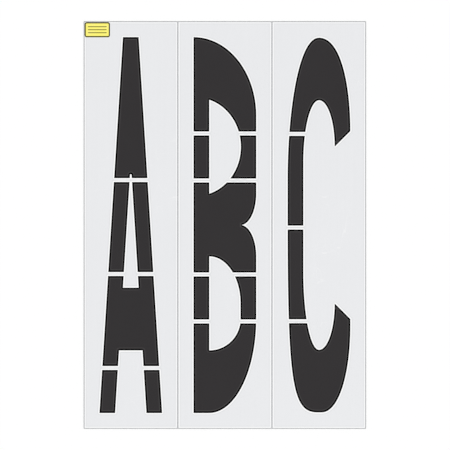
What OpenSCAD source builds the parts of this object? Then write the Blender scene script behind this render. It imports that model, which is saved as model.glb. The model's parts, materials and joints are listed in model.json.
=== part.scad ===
// Lettering stencil: a set of three loose plastic sheets for painting the tall letters A, B and C
// on a road or a floor. The sheets lie side by side, face up, with their edges butted.
// X runs along the line of lettering, Y from the foot of the letters to their head, and Z up.
// The origin is the centre of the underside of the whole set. All sizes are in millimetres.

/* [Sheet] */
// Width of the border round each letter, 4 in
margin = 101.6; // [70:0.2:150]
// Thickness of the plastic, 1/8 in
sheet_t = 3.2; // [1.6:0.1:6.4]
// Gap between neighbouring sheets as they are laid out
sheet_gap = 0.8; // [0.4:0.1:12]
// Radius that takes the point off each sheet corner
corner_r = 2; // [1:0.5:20]

/* [Lettering] */
// Height of the letters from base line to cap line, 96 in
letter_h = 2438.4; // [2300:0.8:2500]
// Width of the letters, 16 in
letter_w = 406.4; // [385:0.2:430]
// Width of the upright strokes, 4 in
stroke_w = 101.6; // [80:0.2:115]
// Height of the cross strokes, 16 in
bar_h = 406.4; // [340:0.2:430]
// Blunt end of a thin tongue of plastic
tip_t = 2; // [1:0.5:4]

/* [Bridges] */
// Width of the bridges that carry the islands, 1 in
bridge_w = 25.4; // [16:0.2:40]
// Height of the lowest bridge of the A above the base line
a_bridge_y = 292; // [260:1:300]
// Height of the middle bridge of the A above the crossbar
a_bar_bridge = 88.8; // [60:0.2:120]
// Depth of the top bridge of the A below the rounded point of the counter
a_tip_bridge = 33; // [25:0.5:60]
// Height of the lower bridge of the B's upper island above the foot of the island
b_upper_bridge = 86; // [60:1:110]
// Height of the lower bridge of the B's lower island above the foot of the island
b_lower_bridge = 187.6; // [150:0.2:230]
// Distance between the two bridges of each island of the B, 12 in
b_bridge_pitch = 304.8; // [280:0.2:330]
// Height of the lowest bridge of the C above the base line
c_bridge_y = 595.4; // [550:0.2:640]
// Distance between the bridges of the C
c_bridge_pitch = 607.5; // [580:0.5:630]

/* [Letter A] */
// Width of the flat head
a_head_w = 101.6; // [90:0.2:130]
// Width of each leg, measured level, 4 in
a_leg_w = 101.6; // [80:0.2:104]
// Height of the underside of the crossbar above the base line, 16 in
a_bar_y = 406.4; // [330:0.2:440]
// Radius of the rounded point at the head of the counter
a_tip_r = 5.1; // [2:0.1:12]

/* [Letter B] */
// Width of the upper bowl's stroke, measured level
b_bowl_w = 99.4; // [80:0.2:115]
// Distance of the centre of the upper island's curve from the left edge of the letter
b_island_x = 16.5; // [0:0.5:60]
// Height of the curve at the head of the upper bowl, 20 in
b_head_curve = 508; // [400:1:620]
// Height of the curve at the foot of the lower bowl, 24 in
b_foot_curve = 609.6; // [500:0.2:660]
// Depth of the notch at the waist, 4 in
b_waist_depth = 101.6; // [70:0.2:130]
// Height of each curve at the waist, 8 in
b_waist_curve = 203.2; // [150:0.2:230]
// Height of the curve at the head of the lower counter, 12 in
b_counter_head = 304.8; // [250:0.2:340]
// Height of the curve at the foot of the lower counter, 8 in
b_counter_foot = 203.2; // [150:0.2:230]

/* [Letter C] */
// Distance by which the round letter stops short of the cap and base lines
c_inset = 4; // [1:0.5:12]
// Distance by which the space inside it stops short of the head and foot bars
c_inner_inset = 3.6; // [0:0.2:10]
// Height of the outer corner of the lower terminal above the base line, 24 in
c_mouth_y = 609.6; // [580:0.2:660]
// Height of the outer curve on the left at the head
c_head_left = 909; // [800:1:1000]
// Height of the outer curve on the left at the foot
c_foot_left = 1214; // [1100:1:1300]
// Width of the outer curve on the left at the foot
c_foot_left_w = 193; // [160:1:200]
// Height of the outer curve on the right at the foot
c_foot_right = 563; // [500:1:570]
// Width of the outer curve on the right at the foot
c_foot_right_w = 186; // [160:1:200]
// Fullness of the outer curve on the right at the head, across and up; 0.55 is a quarter ellipse
c_head_right_full = [0.7, 0.5]; // [0.4:0.01:0.8]
// Fullness of the outer curve on the left at the head
c_head_left_full = [0.67, 0.45]; // [0.4:0.01:0.8]
// Fullness of the outer curve on the left at the foot
c_foot_left_full = [0.82, 0.86]; // [0.4:0.01:0.9]
// Fullness of the outer curve on the right at the foot
c_foot_right_full = [0.58, 0.58]; // [0.4:0.01:0.8]
// Height of the inner curve on the left at the head, 16 in
c_inner_head_left = 406.4; // [340:0.2:460]
// Height of the inner curve on the left at the foot, 20 in
c_inner_foot_left = 508; // [440:0.2:560]

/* [Label] */
// Width of the write-on label
label_w = 165; // [120:1:200]
// Height of the write-on label
label_h = 98; // [60:1:100]
// Thickness of the label
label_t = 0.3; // [0.2:0.05:1]
// Corner radius of the label
label_r = 14; // [4:1:25]
// Distance of the label from the edges of its sheet
label_inset = 5; // [1:0.5:10]

/* [Hidden] */

$fn = 48;
curve_steps = 36;
past_face = 1;
plastic = [0.92, 0.925, 0.93];
label_yellow = [1, 0.93, 0.25];

sheet_w = letter_w + 2 * margin;
sheet_h = letter_h + 2 * margin;
sheet_pitch = sheet_w + sheet_gap;
a_lean = (letter_w - a_head_w) / 2;
a_tip_y = letter_h * (1 - (a_leg_w + a_tip_r - a_head_w / 2) / a_lean);
waist_y = letter_h / 2;
middle_bar_foot = waist_y - bar_h / 2;
middle_bar_head = waist_y + bar_h / 2;
head_bar_foot = letter_h - bar_h;
c_middle = letter_w / 2;
c_mouth_head = letter_h - c_mouth_y;

// Points of an elliptical arc, anticlockwise if to is more than from
function arc(centre, radii, from, to) =
    [for (i = [0:curve_steps])
        let (turn = from + (to - from) * i / curve_steps)
        centre + [radii.x * cos(turn), radii.y * sin(turn)]];

// Points of a quarter turn from the end of an upright line to the end of a level one. Each line
// carries on for a share of the turn, its fullness [across, up], before the curve leaves it.
function quarter_turn(upright, level, fullness) =
    let (
        upright_pull = [upright.x, upright.y + fullness.y * (level.y - upright.y)],
        level_pull = [level.x + fullness.x * (upright.x - level.x), level.y]
    )
    [for (i = [0:curve_steps])
        let (t = i / curve_steps, s = 1 - t)
        s ^ 3 * upright + 3 * s ^ 2 * t * upright_pull + 3 * s * t ^ 2 * level_pull + t ^ 3 * level];

// The same points from last to first
function turned_round(points) = [for (i = [len(points) - 1:-1:0]) points[i]];

// Half the width of the A at a height above the base line, over its outer edges
function a_half_width(y) = a_head_w / 2 + a_lean * (letter_h - y) / letter_h;

// Half the width of the space between the legs of the A at a height above the base line
function a_half_gap(y) = a_half_width(y) - a_leg_w;

// A flat sheet with its corners eased, centred on the origin
module sheet_blank() {
    corner_x = sheet_w / 2 - corner_r;
    corner_y = sheet_h / 2 - corner_r;
    translate([-sheet_w / 2, -corner_y, 0]) cube([sheet_w, 2 * corner_y, sheet_t]);
    translate([-corner_x, -sheet_h / 2, 0]) cube([2 * corner_x, sheet_h, sheet_t]);
    for (x = [-corner_x, corner_x], y = [-corner_y, corner_y])
        translate([x, y, 0]) cylinder(r = corner_r, h = sheet_t);
}

// A straight prism that runs past both faces of a sheet
module through_cut() {
    translate([0, 0, -past_face]) linear_extrude(sheet_t + 2 * past_face) children();
}

// Level bands of plastic left across a letter, with their middles at the given heights
module bridges(heights, width = letter_w) {
    for (y = heights)
        translate([-past_face, y - bridge_w / 2]) square([width + 2 * past_face, bridge_w]);
}

// The space between the legs of the A over a range of heights
module a_gap(foot_y, head_y) {
    middle = letter_w / 2;
    polygon([
        [middle - a_half_gap(foot_y), foot_y],
        [middle + a_half_gap(foot_y), foot_y],
        [middle + a_half_gap(head_y), head_y],
        [middle - a_half_gap(head_y), head_y]
    ]);
}

module letter_a() {
    middle = letter_w / 2;
    bar_head = a_bar_y + bar_h;
    difference() {
        polygon([
            [0, 0],
            [letter_w, 0],
            [middle + a_head_w / 2, letter_h],
            [middle - a_head_w / 2, letter_h]
        ]);
        a_gap(-past_face, a_bar_y);
        a_gap(bar_head, a_tip_y);
        translate([middle, a_tip_y]) circle(r = a_tip_r);
        bridges([a_bridge_y, bar_head + a_bar_bridge, a_tip_y - a_tip_bridge]);
    }
}

module letter_b() {
    upper_bridge = middle_bar_head + b_upper_bridge;
    lower_bridge = bar_h + b_lower_bridge;
    difference() {
        polygon(concat(
            [[0, 0]],
            arc([stroke_w, b_foot_curve], [letter_w - stroke_w, b_foot_curve], 270, 360),
            arc([letter_w - b_waist_depth, waist_y - b_waist_curve], [b_waist_depth, b_waist_curve], 0, 90),
            arc([letter_w - b_waist_depth, waist_y + b_waist_curve], [b_waist_depth, b_waist_curve], 270, 360),
            arc([0, letter_h - b_head_curve], [letter_w, b_head_curve], 0, 90)
        ));
        b_upper_counter();
        b_lower_counter();
        bridges([lower_bridge, lower_bridge + b_bridge_pitch]);
        bridges([upper_bridge, upper_bridge + b_bridge_pitch]);
    }
    b_waist_tip();
}

// The island in the upper bowl, a slice of an ellipse that is cut off by the stem
module b_upper_counter() {
    centre_y = (head_bar_foot + middle_bar_head) / 2;
    radius_x = letter_w - b_bowl_w - b_island_x;
    stem_turn = acos((stroke_w - b_island_x) / radius_x);
    radius_y = (head_bar_foot - middle_bar_head) / 2 / sin(stem_turn);
    polygon(arc([b_island_x, centre_y], [radius_x, radius_y], -stem_turn, stem_turn));
}

// The island in the lower bowl
module b_lower_counter() {
    counter_w = letter_w - 2 * stroke_w;
    polygon(concat(
        arc([stroke_w, bar_h + b_counter_foot], [counter_w, b_counter_foot], 270, 360),
        arc([stroke_w, middle_bar_foot - b_counter_head], [counter_w, b_counter_head], 0, 90)
    ));
}

// Takes the feather edge off the tongue of plastic that enters the waist
module b_waist_tip() {
    tongue = b_waist_depth * sqrt(tip_t / b_waist_curve);
    translate([letter_w - b_waist_depth - past_face, waist_y - tip_t])
        square([tongue + past_face, 2 * tip_t]);
}

module letter_c() {
    foot = c_inset;
    head = letter_h - c_inset;
    inner_foot = bar_h + c_inner_inset;
    inner_head = head_bar_foot - c_inner_inset;
    inner_r = c_middle - stroke_w;
    mouth_foot = c_mouth_y + stroke_w;
    mouth_head = c_mouth_head - stroke_w;
    difference() {
        polygon(concat(
            quarter_turn([letter_w, c_mouth_head], [c_middle, head], c_head_right_full),
            turned_round(quarter_turn([0, head - c_head_left], [c_middle, head], c_head_left_full)),
            quarter_turn([0, foot + c_foot_left], [c_foot_left_w, foot], c_foot_left_full),
            turned_round(quarter_turn(
                [letter_w, foot + c_foot_right], [letter_w - c_foot_right_w, foot], c_foot_right_full)),
            [[letter_w, c_mouth_y]],
            arc([c_middle, mouth_foot], [inner_r, mouth_foot - inner_foot], 360, 270),
            arc([c_middle, inner_foot + c_inner_foot_left], [inner_r, c_inner_foot_left], 270, 180),
            arc([c_middle, inner_head - c_inner_head_left], [inner_r, c_inner_head_left], 180, 90),
            arc([c_middle, mouth_head], [inner_r, inner_head - mouth_head], 90, 0)
        ));
        bridges([for (step = [0:2]) c_bridge_y + step * c_bridge_pitch], c_middle);
    }
}

// One sheet of the set with its letter cut through it; place counts from -1 on the left
module stencil_sheet(place) {
    color(plastic) translate([place * sheet_pitch, 0, 0]) difference() {
        sheet_blank();
        translate([-letter_w / 2, -letter_h / 2, 0]) through_cut() children();
    }
}

module sheet_letter_a() {
    stencil_sheet(-1) letter_a();
}

module sheet_letter_b() {
    stencil_sheet(0) letter_b();
}

module sheet_letter_c() {
    stencil_sheet(1) letter_c();
}

// Stuck on the face of the A sheet, in its top left corner
module write_on_label() {
    left = -sheet_pitch - sheet_w / 2 + label_inset;
    top = sheet_h / 2 - label_inset;
    color(label_yellow) translate([left, top - label_h, sheet_t]) {
        translate([label_r, 0, 0]) cube([label_w - 2 * label_r, label_h, label_t]);
        translate([0, label_r, 0]) cube([label_w, label_h - 2 * label_r, label_t]);
        for (x = [label_r, label_w - label_r], y = [label_r, label_h - label_r])
            translate([x, y, 0]) cylinder(r = label_r, h = label_t);
    }
}

sheet_letter_a();
sheet_letter_b();
sheet_letter_c();
write_on_label();
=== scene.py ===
"""Dresses a lettering stencil: three milky plastic sheets with tall letters cut through them.

The sheets lie on a pale studio floor, seen from straight above. The letters that were painted
through them show dark in their openings. All lengths are in metres, in the frame's own axes.
"""
import json
import math

import bmesh
import bpy
import numpy as np
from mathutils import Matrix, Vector
from mathutils.geometry import delaunay_2d_cdt


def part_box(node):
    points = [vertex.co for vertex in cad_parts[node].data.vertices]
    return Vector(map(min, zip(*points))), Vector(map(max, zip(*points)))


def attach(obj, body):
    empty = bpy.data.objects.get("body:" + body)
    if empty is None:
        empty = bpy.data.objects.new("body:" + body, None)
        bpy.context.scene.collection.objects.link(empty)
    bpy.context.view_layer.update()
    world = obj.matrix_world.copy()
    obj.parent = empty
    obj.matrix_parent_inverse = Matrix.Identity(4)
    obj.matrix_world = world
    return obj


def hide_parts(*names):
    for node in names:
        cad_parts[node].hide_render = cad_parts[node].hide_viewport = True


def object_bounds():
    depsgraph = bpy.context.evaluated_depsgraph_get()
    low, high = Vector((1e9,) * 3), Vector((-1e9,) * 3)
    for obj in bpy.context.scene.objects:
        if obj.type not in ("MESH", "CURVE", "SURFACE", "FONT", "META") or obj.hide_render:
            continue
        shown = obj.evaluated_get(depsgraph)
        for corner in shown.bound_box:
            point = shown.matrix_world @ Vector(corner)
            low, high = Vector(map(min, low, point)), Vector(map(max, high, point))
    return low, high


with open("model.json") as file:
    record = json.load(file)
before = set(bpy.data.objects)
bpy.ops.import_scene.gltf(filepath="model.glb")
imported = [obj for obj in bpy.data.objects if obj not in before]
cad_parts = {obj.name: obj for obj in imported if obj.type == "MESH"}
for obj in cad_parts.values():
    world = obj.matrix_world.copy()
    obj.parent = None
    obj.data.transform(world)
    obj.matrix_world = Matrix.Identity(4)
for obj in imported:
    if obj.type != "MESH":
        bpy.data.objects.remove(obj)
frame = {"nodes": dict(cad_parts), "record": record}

cad_low, cad_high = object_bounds()

# How the photograph frames the set, in its own pixels
IMAGE_PX = 450
SET_HEIGHT_PX = 407.3
SET_CENTRE_PX = (224.89, 225.05)

# The camera, far enough away for the set to look as flat as it does in the photograph
CAMERA_HEIGHT = 14.0
CAMERA_SIGHT = 140.0
SENSOR_MM = 36.0

# Chamfers along the top edges of the openings, and along all the edges of the underside
CUT_CHAMFER = 0.0004
UNDER_CHAMFER = 0.0003

# Sawn bevels of the sheets: along the two outer sides of the set, at the ends, and where sheets butt
BEVEL_DEPTH = 0.001
SIDE_BEVEL = 0.0043
END_BEVEL = 0.0039
SEAM_BEVEL = 0.0022

# Faces that meet at a sharper turn than this show an edge
SHARP_TURN = math.radians(30)

# The plastic beside an edge: distance from the edge, and from 1 for a painted highlight to -1 for a
# greyer band painted beyond it
CUT_RIM = (
    (0, 1), (0.0068, 1), (0.0093, 0), (0.0105, -1), (0.0122, -1), (0.0138, -0.1), (0.02, 0))
SAWN_RIM = (
    (0, -0.5), (0.0045, 0), (0.0065, 0.7), (0.0105, 0.7), (0.0145, -0.35), (0.0175, -0.35), (0.021, 0))

# The paint beside an edge: distance from the edge, and from 1 for painted black shade to -1 for a
# lighter band painted beyond it
PAINT_EDGE_SHADE = ((0, 1), (0.0112, 1), (0.0119, -1), (0.0155, -1), (0.0175, 0))

# Points added near the ends of a straight edge: how far from its corner, and the share of it they take
CORNER_STEPS = (0.0025, 0.005, 0.0075, 0.01, 0.0125, 0.015, 0.018, 0.024)
CORNER_SHARE = 1 / 3

# Points added between those: how far apart at most, and the shortest straight edge that takes any
LONG_STEP = 0.05
SHORTEST_STRAIGHT = 0.02

# How many steps away the points beside the outer side of a corner may lie
OUTWARD_REACH = 1.5

# Least spread that the two sides of a corner are taken to have
LEAST_SPREAD = 0.000001

# The share of its step by which a point has to stay clear of every edge
CLEAR_SHARE = 0.98

# The painted ground under the sheets
FLOOR_DEPTH = 0.0004
PAINT_DEPTH = 0.00015
PAINT_CREEP = 0.003
FLOOR_SIZE = 60.0

# The label's film and its printing
LABEL_ROUND = 0.0001
INK_THICKNESS = 0.00005
KEYLINE_INSET = 0.0002
KEYLINE_WIDTH = 0.0078
RULE_COUNT = 3
RULE_PITCH = 0.0195
RULE_LENGTH = 0.122
RULE_WIDTH = 0.0048
RULE_END_STEPS = 12

# Points closer than this are one point, and for a fill before its piece is made, closer than this
SAME_PLACE = 0.000002
SAME_PLACE_IN_FILL = SAME_PLACE / 4

# The kind of triangulation that keeps every triangle between its points
EVERY_TRIANGLE = 0

# Numbers of the Mix node's sockets where it mixes colours
MIX_PLAIN = 6
MIX_OTHER = 7
MIX_RESULT = 2

# How high the finishes' relief stands, and how deep the scuffs in it are
WAVE_HEIGHT = 0.0012
DIE_LINE_HEIGHT = 0.00003
GRAIN_HEIGHT = 0.000015
SCUFF_DEPTH = 0.00002
CUTTER_MARK_HEIGHT = 0.00006
FILM_GRAIN_HEIGHT = 0.000006
RUBBED_HEIGHT = 0.00002
INK_GRAIN_HEIGHT = 0.000008
STIPPLE_HEIGHT = 0.00015

# Light: a colour renders about as it is written where the sky and the sun add up to one
SKY_LEVEL = 0.76
SUN_LEVEL = 0.24
SUN_FROM = (0.25, -0.55, 1.0)
SUN_SOFTNESS = math.radians(14)
FLOOR_GLOW = 0.04

# Colours, linear
MILK_LIGHT = (0.839, 0.846, 0.864, 1)
MILK_SHADE = (0.771, 0.778, 0.796, 1)
# Painted highlight beside the plastic's edges, and a greyer band painted beyond it
PAINTED_HIGHLIGHT_WHITE = (0.99, 0.99, 0.99, 1)
PAINTED_FRINGE_GREY = (0.70, 0.71, 0.72, 1)
# Painted shade on the sawn bevels and walls
SAWN_EDGE_SHADE = (0.26, 0.265, 0.275, 1)
SCUFF_WHITE = (0.93, 0.93, 0.93, 1)
YELLOW = (0.99, 0.91, 0.17, 1)
YELLOW_WORN = (0.97, 0.88, 0.29, 1)
INK = (0.022, 0.018, 0.002, 1)
INK_WORN = (0.07, 0.06, 0.006, 1)
CHARCOAL = (0.029, 0.027, 0.028, 1)
CHARCOAL_LIGHT = (0.047, 0.044, 0.046, 1)
# Painted shade along the openings' edges on the paint, and a lighter band painted beyond it
EDGE_SHADE_BLACK = (0.001, 0.001, 0.001, 1)
PAINTED_LIGHTER_BAND = (0.069, 0.066, 0.067, 1)
FLOOR_WHITE = (0.962, 0.962, 0.962, 1)
WHITE = (1, 1, 1, 1)


class Socket:
    """One output of a tree's nodes. Arithmetic on it adds Math nodes to that tree."""

    def __init__(self, finish, output):
        self.finish = finish
        self.output = output

    def maths(self, operation, first, second):
        """Adds one Math node, with this output as one of its two values or both."""
        return self.finish.node("Math", {"operation": operation}, {0: first, 1: second})

    def __add__(self, other):
        return self.maths("ADD", self, other)

    def __radd__(self, other):
        return self.maths("ADD", other, self)

    def __sub__(self, other):
        return self.maths("SUBTRACT", self, other)

    def __rsub__(self, other):
        return self.maths("SUBTRACT", other, self)

    def __mul__(self, other):
        return self.maths("MULTIPLY", self, other)

    def __rmul__(self, other):
        return self.maths("MULTIPLY", other, self)

    def __neg__(self):
        return self.maths("MULTIPLY", self, -1)

    def __abs__(self):
        return self.maths("ABSOLUTE", self, 0)

    def positive(self):
        """The value itself, or 0 where it is less."""
        return self.maths("MAXIMUM", self, 0)


class Finish:
    """A tree of shader nodes, with the few kinds of pattern that this object's finishes share."""

    def __init__(self, owner):
        owner.use_nodes = True
        self.owner = owner
        self.tree = owner.node_tree
        self.tree.nodes.clear()

    def node(self, kind, settings=None, inputs=None, output=0):
        """Adds a node, its settings first and then its sockets' values or links. Gives one output."""
        node = self.tree.nodes.new("ShaderNode" + kind)
        for name, value in (settings or {}).items():
            setattr(node, name, value)
        for key, value in (inputs or {}).items():
            if isinstance(value, Socket):
                self.tree.links.new(value.output, node.inputs[key])
            else:
                node.inputs[key].default_value = value
        return Socket(self, node.outputs[output]) if node.outputs else node

    def place(self, stretch):
        """The piece's own coordinates, each multiplied by its stretch."""
        spot = self.node("TexCoord", output="Object")
        return self.node("VectorMath", {"operation": "MULTIPLY"}, {0: spot, 1: stretch})

    def noise(self, stretch, detail=2.0):
        """Smooth noise about 0.5, with stretch features to the metre along each axis."""
        return self.node("TexNoise", {}, {"Vector": self.place(stretch), "Scale": 1.0, "Detail": detail})

    def ramp(self, value, low, high):
        """Rises smoothly from 0 to 1 as value goes from low to high."""
        return self.node("MapRange", {"interpolation_type": "SMOOTHSTEP"}, {
            "Value": value, "From Min": low, "From Max": high})

    def scratches(self, stretch, width):
        """Fine curved lines, 1 on the line and 0 beside it, in scattered patches."""
        contour = abs(self.noise(stretch, detail=1.0) - 0.5)
        patches = self.ramp(self.noise((2.3, 1.7, 1.0)), 0.5, 0.62)
        return (1 - self.ramp(contour, 0.0, width)) * patches

    def share(self, name):
        """One of the shares that the mesh itself carries, from -1 to 1."""
        return self.node("Attribute", {"attribute_name": name}, output="Fac")

    def mix(self, factor, plain, other):
        """Colour plain where factor is 0 and other where it is 1."""
        colours = {0: factor, MIX_PLAIN: plain, MIX_OTHER: other}
        return self.node("Mix", {"data_type": "RGBA"}, colours, output=MIX_RESULT)

    def bump(self, height):
        """The normal of a surface that is raised by height, in metres."""
        return self.node("Bump", {}, {"Height": height, "Distance": 1.0, "Strength": 1.0})

    def output(self, kind, shader):
        """Ends the tree in its output node, and gives what the tree belongs to."""
        self.node(kind, {}, {"Surface": shader})
        return self.owner


def new_finish(name):
    """The empty tree of a new material."""
    return Finish(bpy.data.materials.new(name))


def milky_plastic():
    """Polyethylene sheet: cloudy, with die lines along it and scuffs, a painted highlight with a greyer
    band beyond it beside every edge, and painted shade on the sawn edges.
    """
    made = new_finish("milky_plastic")
    cloud = made.noise((2.2, 2.2, 2.2), detail=3.0)
    die_lines = made.noise((75.0, 0.9, 1.0))
    grain = made.ramp(made.noise((900.0, 900.0, 900.0)), 0.3, 0.7)
    scuffs = made.scratches((9.0, 2.2, 1.0), 0.0022) + made.scratches((3.1, 11.0, 1.0), 0.0016)
    normal = made.node("NewGeometry", output="Normal")
    upright = made.node("SeparateXYZ", {}, {0: normal}, output="Z")
    wall = 1 - made.ramp(abs(upright), 0.3, 0.8)
    cutter_marks = made.noise((650.0, 650.0, 12.0)) * wall
    sawn = made.share("sawn_edge")
    milk = made.mix(0.35 * cloud + 0.25 * die_lines + 0.4 * grain, MILK_SHADE, MILK_LIGHT)
    scuffed = made.mix(0.5 * scuffs, milk, SCUFF_WHITE)
    # Painted highlight beside each edge and a greyer band painted beyond it, carried by the mesh as a
    # share
    edge_light_share = made.share("edge_light_share")
    highlighted = made.mix(edge_light_share.positive(), scuffed, PAINTED_HIGHLIGHT_WHITE)
    highlight_fringed = made.mix((-edge_light_share).positive(), highlighted, PAINTED_FRINGE_GREY)
    # Painted shade on the sawn bevels and walls, broken a little by the cutter marks
    colour = made.mix(sawn * (0.9 + 0.1 * cutter_marks), highlight_fringed, SAWN_EDGE_SHADE)
    roughness = 0.36 + 0.1 * cloud + 0.05 * die_lines + 0.12 * scuffs + 0.2 * sawn
    slow_wave = made.noise((1.6, 1.1, 1.0), detail=1.0)
    height = (
        WAVE_HEIGHT * slow_wave + DIE_LINE_HEIGHT * die_lines + GRAIN_HEIGHT * grain
        - SCUFF_DEPTH * scuffs + CUTTER_MARK_HEIGHT * cutter_marks)
    shader = made.node("BsdfPrincipled", {}, {
        "Base Color": colour, "Roughness": roughness, "IOR": 1.51, "Normal": made.bump(height)})
    return made.output("OutputMaterial", shader)


def label_vinyl():
    """Glossy yellow sticker film, a little rubbed."""
    made = new_finish("label_vinyl")
    rubbed = made.ramp(made.noise((38.0, 30.0, 1.0), detail=4.0), 0.45, 0.75)
    scuffs = made.scratches((40.0, 16.0, 1.0), 0.01)
    grain = made.noise((1500.0, 1500.0, 1500.0))
    colour = made.mix(0.6 * rubbed + 0.25 * scuffs, YELLOW, YELLOW_WORN)
    shader = made.node("BsdfPrincipled", {}, {
        "Base Color": colour, "Roughness": 0.3 + 0.15 * rubbed + 0.2 * scuffs,
        "Specular IOR Level": 0.3, "Coat Weight": 0.1, "Coat Roughness": 0.12,
        "Normal": made.bump(FILM_GRAIN_HEIGHT * grain + RUBBED_HEIGHT * rubbed)})
    return made.output("OutputMaterial", shader)


def label_ink():
    """Dark screen ink with thin places in it."""
    made = new_finish("label_ink")
    thin = made.ramp(made.noise((260.0, 260.0, 1.0), detail=3.0), 0.5, 0.7)
    grain = made.noise((1500.0, 1500.0, 1500.0))
    shader = made.node("BsdfPrincipled", {}, {
        "Base Color": made.mix(thin, INK, INK_WORN), "Roughness": 0.4 + 0.2 * thin,
        "Specular IOR Level": 0.2, "Normal": made.bump(INK_GRAIN_HEIGHT * grain)})
    return made.output("OutputMaterial", shader)


def ground_paint():
    """Charcoal marking paint with roller stipple, and painted black shade along the stencil's edge with
    a lighter band beyond it.
    """
    made = new_finish("ground_paint")
    stipple = made.ramp(made.noise((600.0, 600.0, 1.0), detail=3.0), 0.3, 0.7)
    cloud = made.noise((3.0, 3.0, 1.0))
    fill = made.mix(0.8 * stipple + 0.2 * cloud, CHARCOAL, CHARCOAL_LIGHT)
    # Painted black shade along the stencil's edge, then a lighter band painted beyond it
    edge_shade = made.share("edge_shade")
    edge_shaded = made.mix(edge_shade.positive(), fill, EDGE_SHADE_BLACK)
    colour = made.mix((-edge_shade).positive(), edge_shaded, PAINTED_LIGHTER_BAND)
    shader = made.node("BsdfPrincipled", {}, {
        "Base Color": colour, "Roughness": 0.7, "Specular IOR Level": 0.0,
        "Normal": made.bump(STIPPLE_HEIGHT * stipple)})
    return made.output("OutputMaterial", shader)


def studio_floor():
    """Pale floor that is white to the camera and still takes the set's shadow."""
    made = new_finish("studio_floor")
    mottle = made.noise((4.0, 4.0, 1.0), detail=3.0)
    matt = made.node("BsdfDiffuse", {}, {"Color": made.mix(0.05 * mottle, FLOOR_WHITE, WHITE)})
    seen = made.node("LightPath", output="Is Camera Ray")
    glow = made.node("Emission", {}, {"Color": WHITE, "Strength": FLOOR_GLOW * seen})
    return made.output("OutputMaterial", made.node("AddShader", {}, {0: matt, 1: glow}))


def pairs(items):
    """Each item with the one after it, and the last with the first."""
    return list(zip(items, (*items[1:], items[0])))


def outlines(node):
    """Outlines of a node's upper face, the largest first, with the solid on the left of each."""
    mesh = frame["nodes"][node].data
    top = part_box(node)[1].z
    sides = set()
    places = {}
    for face in mesh.polygons:
        corners = [mesh.vertices[number].co for number in face.vertices]
        if all(abs(corner.z - top) < SAME_PLACE for corner in corners):
            keys = [tuple(round(value / SAME_PLACE) for value in corner.xy) for corner in corners]
            places.update(zip(keys, corners))
            if face.normal.z < 0:
                keys.reverse()
            sides.update(pairs(keys))
    onward = {here: there for here, there in sides if (there, here) not in sides}
    found = []
    while onward:
        here = min(onward)
        loop = []
        while here in onward:
            loop.append(places[here].xy)
            here = onward.pop(here)
        found.append(np.array(loop))
    return sorted(found, key=lambda loop: -np.ptp(loop, axis=0).sum())


def spaced(outline):
    """The same outline with points added along its straight stretches, closest together near corners."""
    points = []
    for here, there in zip(outline, np.roll(outline, -1, axis=0)):
        length = np.linalg.norm(there - here)
        places = [0]
        if length > SHORTEST_STRAIGHT:
            near = [step for step in CORNER_STEPS if step < length * CORNER_SHARE]
            middle = length - 2 * near[-1]
            count = math.ceil(middle / LONG_STEP)
            places += near + [near[-1] + middle * step / count for step in range(1, count)]
            places += [length - step for step in reversed(near)]
        points += [here + (there - here) * place / length for place in places]
    return np.array(points)


def leans(outline):
    """For each point of an outline, the move that shifts both its sides to the left by one."""
    forward = np.roll(outline, -1, axis=0) - outline
    forward /= np.linalg.norm(forward, axis=1)[:, None]
    left_after = np.stack([-forward[:, 1], forward[:, 0]], axis=1)
    left_before = np.roll(left_after, 1, axis=0)
    spread = 1 + (left_after * left_before).sum(axis=1)
    lean = (left_after + left_before) / np.maximum(spread, LEAST_SPREAD)[:, None]
    reach = np.linalg.norm(lean, axis=1)
    turns_left = (lean * forward).sum(axis=1) > 0
    limit = np.where(turns_left, reach, np.minimum(reach, OUTWARD_REACH))
    return lean * (limit / reach)[:, None]


def clearances(points, walls):
    """How far each point is from the nearest of the walls."""
    starts = np.concatenate(walls)
    runs = np.concatenate([np.roll(wall, -1, axis=0) for wall in walls]) - starts
    apart = points[:, None] - starts
    along = ((apart * runs).sum(axis=2) / (runs ** 2).sum(axis=1)).clip(0, 1)
    return np.linalg.norm(apart - along[:, :, None] * runs, axis=2).min(axis=1)


def round_ended(centre, length, width):
    """Outline of a level stroke with half-round ends, anticlockwise."""
    points = []
    for end, side in enumerate((1, -1)):
        for step in range(RULE_END_STEPS + 1):
            turn = math.pi * (end - 0.5 + step / RULE_END_STEPS)
            points.append((
                centre[0] + side * (length - width) / 2 + width / 2 * math.cos(turn),
                centre[1] + width / 2 * math.sin(turn)))
    return np.array(points)


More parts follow.
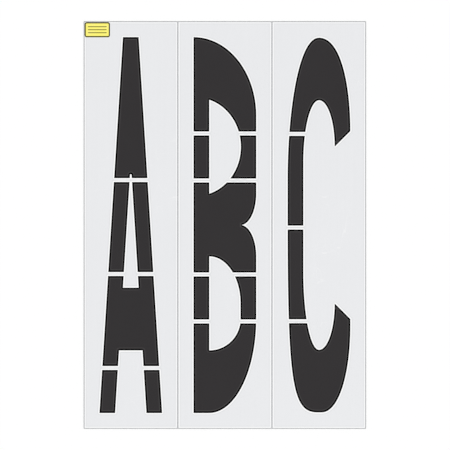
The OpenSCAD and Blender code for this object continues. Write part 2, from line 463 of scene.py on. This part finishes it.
class Skin:
    """The corners and faces of one piece as it is built up, and the shares of finish they carry."""

    def __init__(self, point_share, face_share):
        self.point_share = point_share
        self.face_share = face_share
        self.corners = []
        self.point_shares = []
        self.faces = []
        self.face_shares = []

    def ring(self, outline, height, share=0.0):
        """Adds an outline's points at one height, and gives their numbers."""
        first = len(self.corners)
        self.corners += [(x, y, height) for x, y in outline]
        self.point_shares += [share] * len(outline)
        return list(range(first, len(self.corners)))

    def loose_points(self, outline, height, walls, profile):
        """Points beside an outline where its profile bends, but none past a narrow place's middle."""
        found = []
        lean = leans(outline)
        steps, shares = zip(*profile)
        for step in steps[1:]:
            spots = outline + step * lean
            clear = clearances(spots, walls)
            for spot, distance in zip(spots, clear):
                if distance > CLEAR_SHARE * step:
                    found += self.ring([spot], height, np.interp(distance, steps, shares))
        return found

    def face(self, corners, share=0.0):
        """Adds one face by the numbers of its corners."""
        self.faces.append(tuple(corners))
        self.face_shares.append(share)

    def band(self, low, high, share=0.0):
        """Joins two rings of as many points by a band of faces that looks to the right of the rings."""
        for (low_here, low_there), (high_here, high_there) in zip(pairs(low), pairs(high)):
            self.face((low_here, low_there, high_there, high_here), share)

    def edge(self, layers, share=0.0):
        """Builds an edge from the underside up and gives its lowest and highest rings.

        Each layer is an outline, its height and the share of its points.
        """
        rings = [self.ring(*layer) for layer in layers]
        for low, high in zip(rings, rings[1:]):
            self.band(low, high, share)
        return rings[0], rings[-1]

    def cap(self, edges, loose=()):
        """Closes the piece between its edges, above by way of the loose points, and below."""
        self.fill([highest for _, highest in edges], loose)
        self.fill([lowest for lowest, _ in edges], upward=False)

    def fill(self, rings, loose=(), upward=True):
        """Fills the flat space on the left of rings with triangles, by way of the loose points in it."""
        numbers = [number for ring in (*rings, loose) for number in ring]
        spots = [Vector(self.corners[number][:2]) for number in numbers]
        sides = []
        for ring in rings:
            sides += pairs(range(len(sides), len(sides) + len(ring)))
        _, _, triangles, sources, _, _ = delaunay_2d_cdt(
            spots, sides, [], EVERY_TRIANGLE, SAME_PLACE_IN_FILL)
        joined = {number: group[0] for group in sources for number in group}
        walls = {(joined[here], joined[there]) for here, there in sides}
        owners = {}
        for triangle in triangles:
            corners = tuple(sources[corner][0] for corner in triangle)
            owners.update(dict.fromkeys(pairs(corners), corners))

        # From the triangles along the rings, on their left, to all those that no ring cuts off
        waiting = [owners[side] for side in walls if side in owners]
        filled = set()
        while waiting:
            triangle = waiting.pop()
            if triangle not in filled:
                filled.add(triangle)
                open_sides = [side for side in pairs(triangle) if side not in walls]
                waiting += [owners[there, here] for here, there in open_sides]
        for triangle in sorted(filled):
            corners = [numbers[number] for number in triangle]
            self.face(corners if upward else reversed(corners))

    def piece(self, name, material):
        """Makes the piece's mesh and puts it in the scene."""
        mesh = bpy.data.meshes.new(name)
        mesh.from_pydata(self.corners, [], self.faces)
        carried = (
            (self.point_share, "POINT", self.point_shares),
            (self.face_share, "FACE", self.face_shares))
        for share, domain, values in carried:
            if share:
                mesh.attributes.new(share, "FLOAT", domain).data.foreach_set("value", values)
        work = bmesh.new()
        work.from_mesh(mesh)
        bmesh.ops.remove_doubles(work, verts=work.verts, dist=SAME_PLACE)
        work.to_mesh(mesh)
        work.free()
        mesh.shade_smooth()
        mesh.set_sharp_from_angle(angle=SHARP_TURN)
        mesh.materials.append(material)
        made = bpy.data.objects.new(name, mesh)
        bpy.context.scene.collection.objects.link(made)
        return made


def bevelled(outline):
    """A sheet's own outline drawn in by its bevel."""
    low, high = outline.min(axis=0), outline.max(axis=0)
    low_bevel = SIDE_BEVEL if low[0] < cad_low.x + SAME_PLACE else SEAM_BEVEL
    high_bevel = SIDE_BEVEL if high[0] > cad_high.x - SAME_PLACE else SEAM_BEVEL
    return np.clip(outline, low + (low_bevel, END_BEVEL), high - (high_bevel, END_BEVEL))


def stencil_sheet(node, body, material):
    """One sheet with its letter cut through it, on the outlines of its solid. Gives its openings."""
    low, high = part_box(node)
    walls = [spaced(outline) for outline in outlines(node)]
    outer, *openings = walls
    skin = Skin("edge_light_share", "sawn_edge")
    # The sawn bevel and wall carry painted shade in full
    edges = [skin.edge((
        (outer + UNDER_CHAMFER * leans(outer), low.z),
        (outer, low.z + UNDER_CHAMFER),
        (outer, high.z - BEVEL_DEPTH),
        (bevelled(outer), high.z)), share=1)]
    loose = skin.loose_points(outer, high.z, walls, SAWN_RIM)
    for opening in openings:
        lean = leans(opening)
        # The openings' chamfers and walls carry the painted highlight in full
        edges.append(skin.edge((
            (opening + UNDER_CHAMFER * lean, low.z, 0),
            (opening, low.z + UNDER_CHAMFER, 1),
            (opening, high.z - CUT_CHAMFER, 1),
            (opening + CUT_CHAMFER * lean, high.z, 1))))
        loose += skin.loose_points(opening, high.z, walls, CUT_RIM)
    skin.cap(edges, loose)
    sheet = skin.piece(node + "_cut", material)
    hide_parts(node)
    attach(sheet, body)
    return openings


def painted_ground(openings, material):
    """The paint that went through the openings, a little way under the plastic at their edges."""
    skin = Skin("edge_shade", None)
    for opening in openings:
        under = skin.ring((opening + PAINT_CREEP * leans(opening))[::-1], -FLOOR_DEPTH)
        inside = opening[::-1]
        # The paint at the opening's edge takes the painted black shade in full
        edge = skin.ring(inside, -PAINT_DEPTH, 1)
        skin.band(under, edge)
        skin.fill([edge], skin.loose_points(inside, -PAINT_DEPTH, [inside], PAINT_EDGE_SHADE))
    skin.piece("painted_ground", material)


def label_film(node, body, material):
    """The write-on label's film, a little rounded along its upper edge."""
    low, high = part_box(node)
    outline = outlines(node)[0]
    skin = Skin(None, None)
    skin.cap([skin.edge((
        (outline, low.z),
        (outline, high.z - LABEL_ROUND),
        (outline + LABEL_ROUND * leans(outline), high.z)))])
    film = skin.piece("label_film", material)
    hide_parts(node)
    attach(film, body)


def keyline(skin, outline, low, high):
    """A closed line of ink just inside an outline, from one height to another."""
    lean = leans(outline)
    outer = outline + KEYLINE_INSET * lean
    inner = outline + (KEYLINE_INSET + KEYLINE_WIDTH) * lean
    rings = [skin.ring(*layer) for layer in ((outer, low), (outer, high), (inner, high), (inner, low))]
    for here, there in pairs(rings):
        skin.band(here, there)


def label_printing(node, body, material):
    """The label's ink: a keyline round its border and ruled lines to write on, all blank."""
    low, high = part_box(node)
    ink_top = high.z + INK_THICKNESS
    skin = Skin(None, None)
    keyline(skin, outlines(node)[0], high.z, ink_top)
    for number in range(RULE_COUNT):
        above_middle = RULE_PITCH * (number - (RULE_COUNT - 1) / 2)
        centre = ((low.x + high.x) / 2, (low.y + high.y) / 2 + above_middle)
        rule = round_ended(centre, RULE_LENGTH, RULE_WIDTH)
        skin.cap([skin.edge(((rule, high.z), (rule, ink_top)))])
    printing = skin.piece("label_printing", material)
    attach(printing, body)


def floor(material):
    """A wide level floor just under the sheets."""
    skin = Skin(None, None)
    half = FLOOR_SIZE / 2
    square = np.array([(-half, -half), (half, -half), (half, half), (-half, half)])
    skin.face(skin.ring(square, -FLOOR_DEPTH))
    skin.piece("studio_floor", material)


def sky():
    """Plain soft light from all round, white to the camera and in reflections."""
    world = bpy.data.worlds.new("studio")
    bpy.context.scene.world = world
    made = Finish(world)
    seen = made.node("LightPath", output="Is Camera Ray")
    mirrored = made.node("LightPath", output="Is Glossy Ray")
    passed = made.node("LightPath", output="Is Transmission Ray")
    level = SKY_LEVEL + (1 - SKY_LEVEL) * made.ramp(seen + mirrored + passed, 0.0, 1.0)
    made.output("OutputWorld", made.node("Background", {}, {"Color": WHITE, "Strength": level}))


def sun():
    """One wide soft lamp, high over the feet of the letters and a little to the right."""
    lamp = bpy.data.lights.new("studio_lamp", "SUN")
    towards = Vector(SUN_FROM).normalized()
    lamp.energy = SUN_LEVEL * math.pi / towards.z
    lamp.angle = SUN_SOFTNESS
    made = bpy.data.objects.new("studio_lamp", lamp)
    made.rotation_mode = "QUATERNION"
    made.rotation_quaternion = towards.to_track_quat("Z", "Y")
    bpy.context.scene.collection.objects.link(made)


def camera():
    """Looks straight down on the set, placed so that the set fills the frame as in the photograph."""
    metres_per_px = (cad_high.y - cad_low.y) / SET_HEIGHT_PX
    centre = (cad_low + cad_high) / 2
    lens = bpy.data.cameras.new("photograph")
    lens.type = "PERSP"
    lens.sensor_width = SENSOR_MM
    lens.lens = SENSOR_MM * CAMERA_HEIGHT / (IMAGE_PX * metres_per_px)
    lens.clip_end = CAMERA_SIGHT
    made = bpy.data.objects.new("photograph", lens)
    made.location = (
        centre.x + (IMAGE_PX / 2 - SET_CENTRE_PX[0]) * metres_per_px,
        centre.y - (IMAGE_PX / 2 - SET_CENTRE_PX[1]) * metres_per_px,
        cad_high.z + CAMERA_HEIGHT)
    bpy.context.scene.collection.objects.link(made)
    bpy.context.scene.camera = made


camera()
sky()
sun()
plastic = milky_plastic()
all_openings = []
for body, nodes in frame["record"]["behaviour"]["bodies"].items():
    for node in nodes:
        if node == "write_on_label":
            label_film(node, body, label_vinyl())
            label_printing(node, body, label_ink())
        else:
            all_openings += stencil_sheet(node, body, plastic)
painted_ground(all_openings, ground_paint())
floor(studio_floor())
bpy.context.scene.view_settings.view_transform = "Standard"
